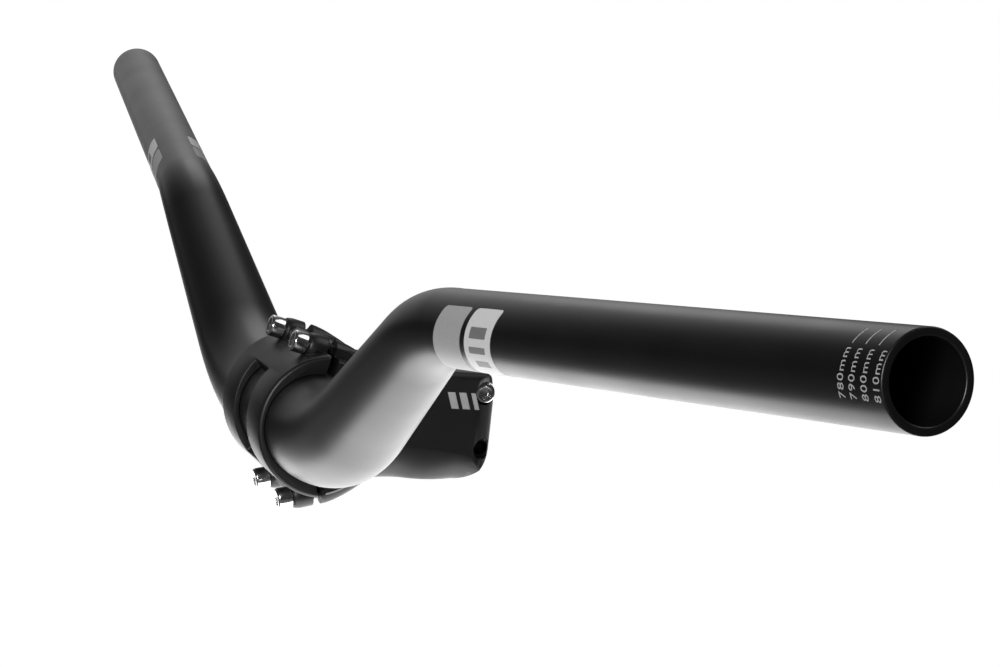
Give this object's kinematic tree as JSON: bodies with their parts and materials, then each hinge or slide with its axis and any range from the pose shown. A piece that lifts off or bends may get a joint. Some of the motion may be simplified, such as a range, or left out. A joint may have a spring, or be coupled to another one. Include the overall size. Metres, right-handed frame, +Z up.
{
  "type": "riser handlebar with stem",
  "caption": "Wide tapering riser handlebar clamped in a short stem by a windowed faceplate; the stem pinches onto a steerer tube.",
  "frame": {"origin": "centre of the steerer clamp, on the steerer axis at the middle of the clamp's height", "axes": "+Z up along the steerer axis, +Y forwards from the steerer to the bar, +X to the rider's right along the bar"},
  "size_m": [0.8134, 0.0855, 0.1273],
  "materials": {
    "bar": "satin black with pale print",
    "stem": "satin black anodised",
    "bolts": "polished"
  },
  "bodies": {
    "root": {"handlebar": "bar", "stem_body": "stem", "faceplate": "stem", "faceplate_bolt_upper_left": "bolts", "faceplate_bolt_upper_right": "bolts", "faceplate_bolt_lower_left": "bolts", "faceplate_bolt_lower_right": "bolts", "pinch_bolt_upper": "bolts", "pinch_bolt_lower": "bolts"}
  },
  "joints": []
}
